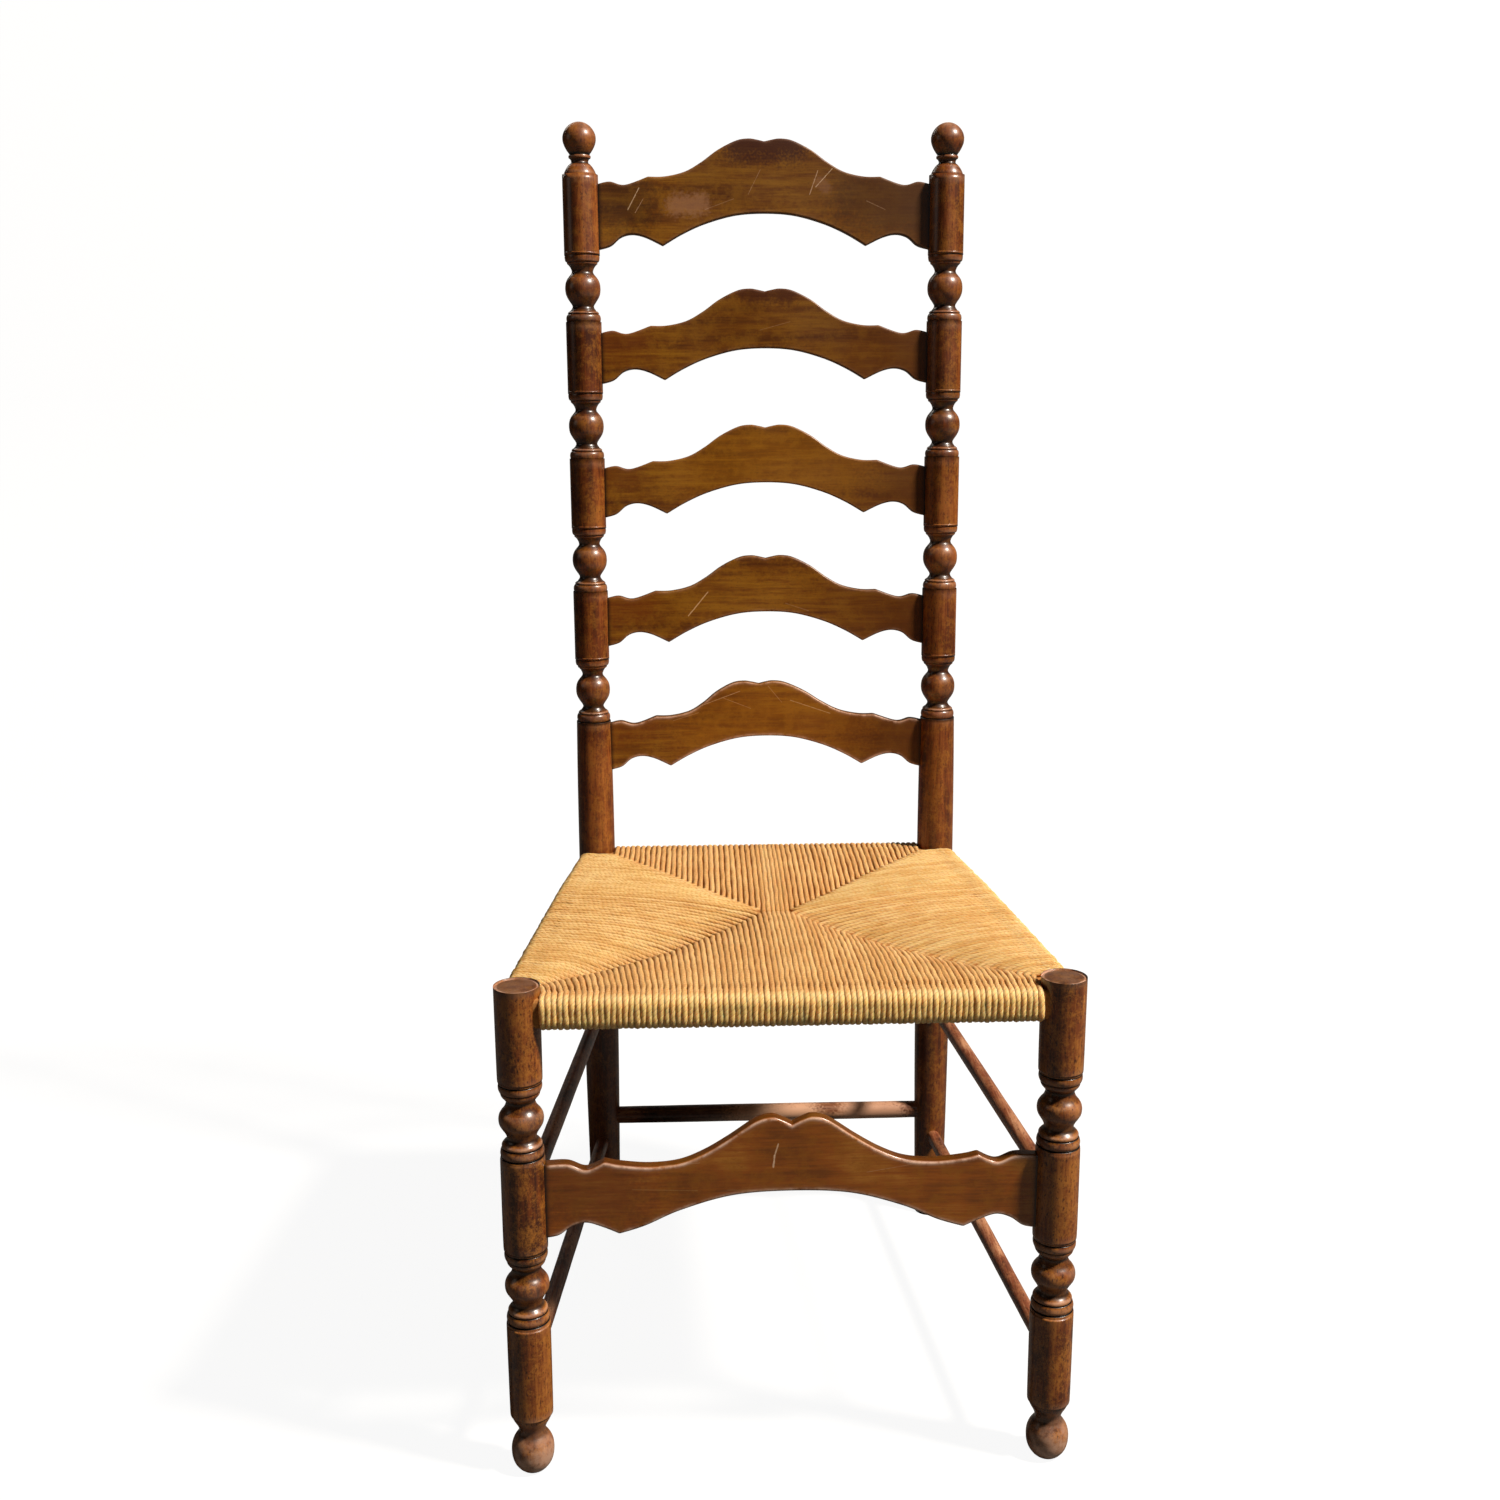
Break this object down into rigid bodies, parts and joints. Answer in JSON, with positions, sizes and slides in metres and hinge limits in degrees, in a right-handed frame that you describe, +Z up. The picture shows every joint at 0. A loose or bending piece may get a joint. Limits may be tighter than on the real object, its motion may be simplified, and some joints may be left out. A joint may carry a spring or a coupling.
{
  "type": "ladder back chair",
  "caption": "Tall ladder-back side chair: turned posts with ball finials, shaped slats with arched undersides, a shaped front stretcher board, round stretchers and a woven rush seat.",
  "frame": {"origin": "on the floor, under the middle of the chair's bounding box", "axes": "+Z up; +X towards the viewer's right when the chair is seen from the front; +Y from the front posts to the back"},
  "size_m": [0.4664, 0.4874, 1.1356],
  "materials": {
    "stained_turned_post": "dark red-brown stain, satin lacquer",
    "stained_slat": "olive-brown stain, satin lacquer",
    "stained_board": "brown stain, satin lacquer",
    "stained_stretcher": "worn red-brown stain, satin",
    "raw_rail": "unstained wood, hidden in the rush",
    "rush": "matt twisted straw-gold rush"
  },
  "bodies": {
    "root": {"front_post_left": "stained_turned_post", "front_post_right": "stained_turned_post", "front_stretcher_board": "stained_board", "ladder_slat_1": "stained_slat", "ladder_slat_2": "stained_slat", "ladder_slat_3": "stained_slat", "ladder_slat_4": "stained_slat", "ladder_slat_5": "stained_slat", "rear_post_left": "stained_turned_post", "rear_post_right": "stained_turned_post", "rear_stretcher": "stained_stretcher", "rush_seat": "rush", "seat_rail_front": "raw_rail", "seat_rail_left": "raw_rail", "seat_rail_rear": "raw_rail", "seat_rail_right": "raw_rail", "side_stretcher_lower_left": "stained_stretcher", "side_stretcher_lower_right": "stained_stretcher", "side_stretcher_upper_left": "stained_stretcher", "side_stretcher_upper_right": "stained_stretcher"}
  },
  "joints": []
}
